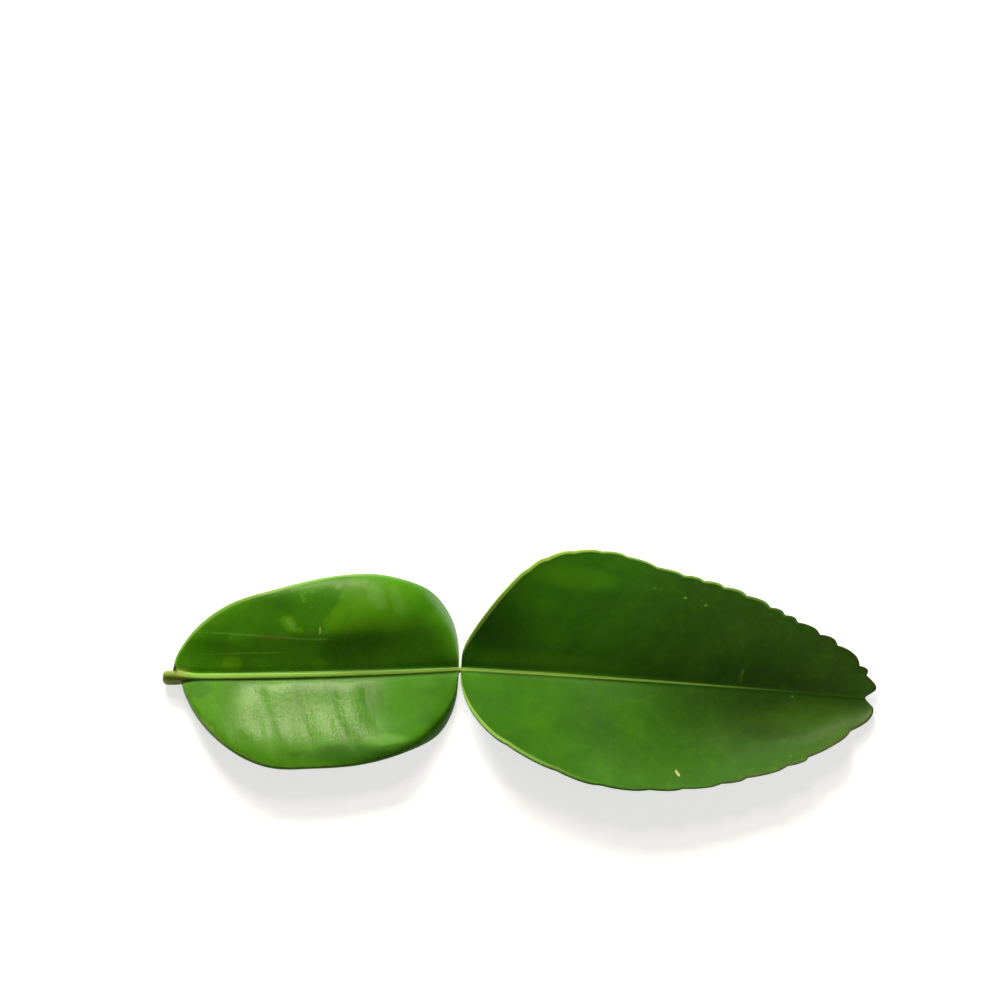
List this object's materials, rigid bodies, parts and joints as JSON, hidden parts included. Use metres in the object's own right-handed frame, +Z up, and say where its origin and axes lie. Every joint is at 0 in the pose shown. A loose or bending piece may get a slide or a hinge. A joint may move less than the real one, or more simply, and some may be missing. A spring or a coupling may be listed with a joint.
{
  "type": "makrut lime leaf",
  "caption": "Picked makrut lime leaf lying flat: cut stalk end, broad winged stalk, narrow waist and a glossy blade with a scalloped edge and a notched tip.",
  "frame": {"origin": "centre of the leaf's box in plan, on the surface that it lies on", "axes": "+X from the cut stalk end to the tip of the blade, +Y across the leaf, +Z up, out of its glossy side"},
  "size_m": [0.1294, 0.0486, 0.0071],
  "materials": {
    "leaf": "satin"
  },
  "bodies": {
    "root": {"leaf": "leaf"}
  },
  "joints": []
}
